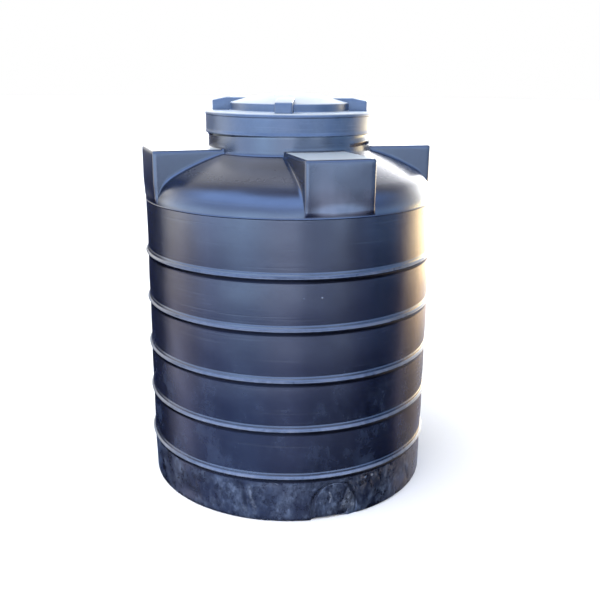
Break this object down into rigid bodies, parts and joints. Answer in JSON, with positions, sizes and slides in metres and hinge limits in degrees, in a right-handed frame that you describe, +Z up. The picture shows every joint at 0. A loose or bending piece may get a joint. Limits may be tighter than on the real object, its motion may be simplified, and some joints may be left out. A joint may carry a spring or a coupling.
{
  "type": "storage tank",
  "caption": "Upright round plastic water tank with ribbed walls, square lifting lugs on a domed shoulder, and a screw lid on a wide neck.",
  "frame": {"origin": "centre of the flat base, on the surface the tank stands on", "axes": "+Z up along the tank's axis through the neck, -Y through the arched outlet flat and the lug above it"},
  "size_m": [0.813, 0.813, 1.0867],
  "materials": {
    "tank_plastic": "semi-gloss black-blue polyethylene, dusty near the floor",
    "lid_plastic": "satin black-blue polyethylene, sun-greyed on top",
    "gasket_rubber": "matt black rubber"
  },
  "bodies": {
    "tank": {"tank_shell": "tank_plastic"},
    "gasket": {"lid_gasket": "gasket_rubber"},
    "lid": {"lid": "lid_plastic"}
  },
  "joints": [
    {"name": "lid_rise", "type": "slide", "parent": "tank", "child": "gasket", "axis": [0, 0, 1], "range_m": [0, 0.068]},
    {"name": "lid_turn", "type": "hinge", "parent": "gasket", "child": "lid", "pos_m": [0, 0, 1.03], "axis": [0, 0, 1], "range_deg": [0, 720]}
  ],
  "couplings": [
    {"joint": "lid_rise", "follows": "lid_turn", "m_per_rad": 0.0054113}
  ]
}
